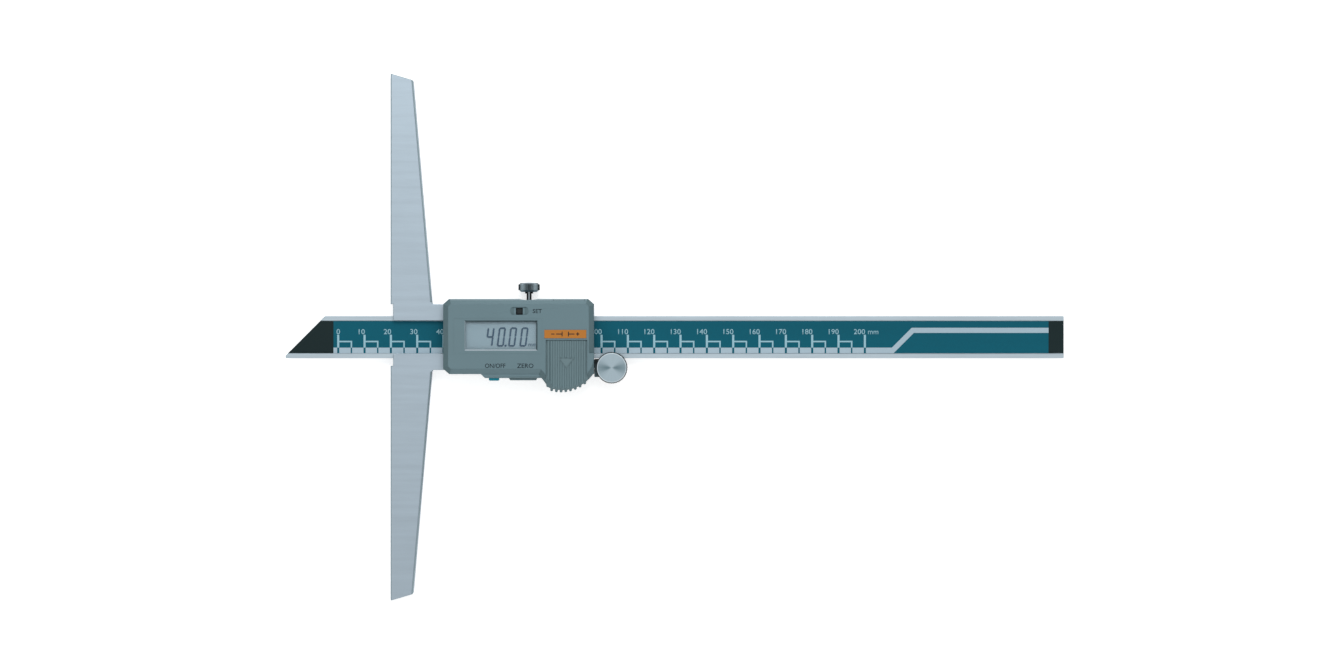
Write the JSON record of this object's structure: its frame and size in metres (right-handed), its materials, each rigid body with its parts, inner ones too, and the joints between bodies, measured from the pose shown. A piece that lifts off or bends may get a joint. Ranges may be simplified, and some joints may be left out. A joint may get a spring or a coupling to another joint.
{
  "type": "digital depth gauge",
  "caption": "Depth gauge with a long T-shaped base, a flat sliding rod that carries a printed scale, and a case with a digital display, thumb wheel and lock screw.",
  "frame": {"origin": "on the back plane, where the rod's centre line crosses the plane of the measuring face", "axes": "+X along the rod, away from the measured work; +Y along the base; +Z towards the display side"},
  "size_m": [0.2955, 0.2, 0.0167],
  "materials": {
    "base_steel": "satin ground steel",
    "rod_steel": "satin ground steel",
    "turned_steel": "turned, knurled rim",
    "screw_steel": "plain",
    "bracket_steel": "dark satin",
    "cell_steel": "bright",
    "bronze": "plain",
    "gilt_spring": "plated spring strip",
    "case_plastic": "fine matt moulding",
    "black_plastic": "matt",
    "teal_plastic": "smooth moulding",
    "clear_window": "clear",
    "lcd_glass": "grey-green display",
    "connector_rubber": "matt",
    "board": "solder mask",
    "orange_label": "printed strip",
    "teal_film": "smooth printed film",
    "light_print": "print",
    "silver_print": "print"
  },
  "bodies": {
    "slider": {"base_frame": "base_steel", "gib_strip": "bronze", "gib_screws": "screw_steel", "housing": "case_plastic", "housing_screws": "screw_steel", "display_bezel": "case_plastic", "display_window": "clear_window", "lcd_module": "lcd_glass", "lcd_connectors": "connector_rubber", "circuit_board": "board", "measuring_chip": "black_plastic", "sensor_board": "board", "board_link": "black_plastic", "button_switches": "black_plastic", "set_switch": "black_plastic", "battery": "cell_steel", "battery_contact_positive": "gilt_spring", "battery_contact_negative": "gilt_spring", "data_socket": "black_plastic", "label_strip": "orange_label", "wheel_bracket": "bracket_steel", "bracket_screws": "screw_steel"},
    "rod": {"rod": "rod_steel", "scale_strip": "black_plastic", "scale_film": "teal_film", "scale_marks": "light_print", "scale_band": "silver_print", "rod_stop": "bracket_steel", "stop_screws": "screw_steel"},
    "thumb_wheel": {"thumb_wheel": "turned_steel", "drive_roller": "bracket_steel", "wheel_clip": "screw_steel"},
    "lock_pad": {"lock_pad": "bronze"},
    "lock_screw": {"lock_screw": "turned_steel"},
    "power_button": {"power_button": "teal_plastic"},
    "zero_button": {"zero_button": "case_plastic"},
    "set_button": {"set_button": "black_plastic"},
    "battery_cover": {"battery_cover": "case_plastic"},
    "port_cover": {"port_cover": "case_plastic"}
  },
  "joints": [
    {"name": "rod_slide", "type": "slide", "parent": "slider", "child": "rod", "axis": [1, 0, 0], "range_m": [-0.16, 0.04]},
    {"name": "thumb_wheel_turn", "type": "hinge", "parent": "slider", "child": "thumb_wheel", "pos_m": [0.0839, -0.0116, 0.009], "axis": [0, 0, 1], "range_deg": [-650, 2590]},
    {"name": "lock_pad_slide", "type": "slide", "parent": "slider", "child": "lock_pad", "axis": [0, 1, 0], "range_m": [-0.00028, 0.001]},
    {"name": "lock_screw_turn", "type": "hinge", "parent": "lock_pad", "child": "lock_screw", "pos_m": [0.05245, 0.0165, 0.00415], "axis": [0, 1, 0], "range_deg": [-215, 740]},
    {"name": "power_button_press", "type": "slide", "parent": "slider", "child": "power_button", "axis": [0, 1, 0], "range_m": [0, 0.0005], "stiffness_N_per_m": 400, "springref_m": -0.0003},
    {"name": "zero_button_press", "type": "slide", "parent": "slider", "child": "zero_button", "axis": [0, 1, 0], "range_m": [0, 0.0005], "stiffness_N_per_m": 400, "springref_m": -0.0003},
    {"name": "set_button_press", "type": "slide", "parent": "slider", "child": "set_button", "axis": [0, 0, -1], "range_m": [0, 0.0004], "stiffness_N_per_m": 400, "springref_m": -0.0003},
    {"name": "battery_cover_slide", "type": "slide", "parent": "slider", "child": "battery_cover", "axis": [0, -1, 0], "range_m": [0, 0.022]},
    {"name": "port_cover_pull", "type": "slide", "parent": "slider", "child": "port_cover", "axis": [0, 1, 0], "range_m": [0, 0.008]}
  ],
  "couplings": [
    {"joint": "thumb_wheel_turn", "follows": "rod_slide", "rad_per_m": -281.69},
    {"joint": "lock_screw_turn", "follows": "lock_pad_slide", "rad_per_m": 12566}
  ]
}
